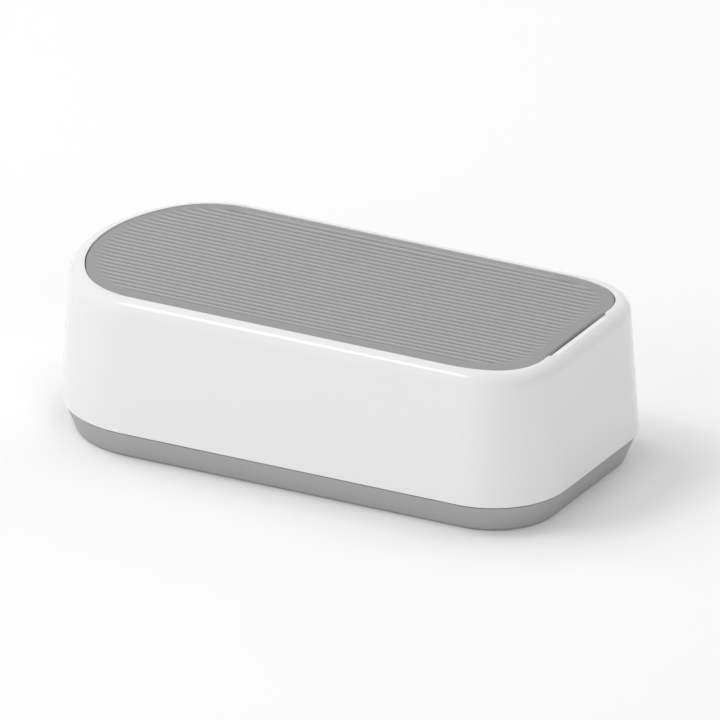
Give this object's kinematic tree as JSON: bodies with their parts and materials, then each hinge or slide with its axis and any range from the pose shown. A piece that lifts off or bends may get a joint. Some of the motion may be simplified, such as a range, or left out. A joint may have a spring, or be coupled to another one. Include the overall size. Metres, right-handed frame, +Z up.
{
  "type": "ultrasonic eyewear cleaner",
  "caption": "Low white ultrasonic eyewear cleaner with a flush ribbed grey lid that lifts off a stainless tank, a start button and a power inlet.",
  "frame": {"origin": "on the table, under the middle of the case's bounding box", "axes": "+X along the long side towards the flat end, -X at the bowed end, +Y through the start button, +Z up"},
  "size_m": [0.2051, 0.1054, 0.0598],
  "materials": {
    "white_case": "satin moulded ABS",
    "grey_base": "fine matt moulding",
    "grey_lid": "fine matt moulding",
    "foot_rubber": "matt rubber",
    "screw_steel": "plated steel",
    "lid_liner_plastic": "satin moulding",
    "seal_rubber": "soft silicone",
    "tank_steel": "drawn stainless steel",
    "zinc_steel": "zinc plated",
    "silvered_ceramic": "silvered ceramic",
    "dark_lead": "insulated wire",
    "red_lead": "insulated wire",
    "button_plastic": "fine matt moulding",
    "light_guide": "frosted light guide",
    "black_plastic": "moulded black plastic",
    "circuit_board": "solder mask",
    "led_resin": "clear resin",
    "contact_metal": "plated contact",
    "ferrite": "sintered ferrite",
    "copper_winding": "enamelled copper",
    "heat_pad_silicone": "filled silicone",
    "sink_aluminium": "extruded",
    "capacitor_sleeve": "shrink sleeve",
    "film_box": "moulded box",
    "connector_plastic": "moulded nylon"
  },
  "bodies": {
    "case": {"upper_shell": "white_case", "base_cover": "grey_base", "rubber_feet": "foot_rubber", "base_screws": "screw_steel", "tank": "tank_steel", "tank_seal": "seal_rubber", "tank_clamps": "zinc_steel", "clamp_screws": "screw_steel", "piezo_disc": "silvered_ceramic", "transducer_leads": "dark_lead", "button_light_ring": "light_guide", "tact_switch": "black_plastic", "switch_board": "circuit_board", "switch_board_screws": "screw_steel", "indicator_led": "led_resin", "switch_leads": "red_lead", "inlet_bezel": "black_plastic", "power_jack": "black_plastic", "jack_pin": "contact_metal", "inlet_leads": "dark_lead", "driver_board": "circuit_board", "board_screws": "screw_steel", "transformer_core": "ferrite", "transformer_winding": "copper_winding", "choke_core": "ferrite", "choke_winding": "copper_winding", "power_transistors": "black_plastic", "heat_pad": "heat_pad_silicone", "heat_sink": "sink_aluminium", "electrolytic_capacitors": "capacitor_sleeve", "film_capacitor": "film_box", "control_chip": "black_plastic", "chip_resistors": "black_plastic", "diodes": "black_plastic", "board_connectors": "connector_plastic"},
    "lid": {"lid_top": "grey_lid", "lid_liner": "lid_liner_plastic", "lid_seal": "seal_rubber"},
    "button": {"start_button": "button_plastic", "switch_plunger": "button_plastic"}
  },
  "joints": [
    {"name": "lid_lift", "type": "slide", "parent": "case", "child": "lid", "axis": [0, 0, 1], "range_m": [0, 0.08]},
    {"name": "button_press", "type": "slide", "parent": "case", "child": "button", "axis": [0, -1, 0], "range_m": [0, 0.0005], "stiffness_N_per_m": 1500}
  ]
}
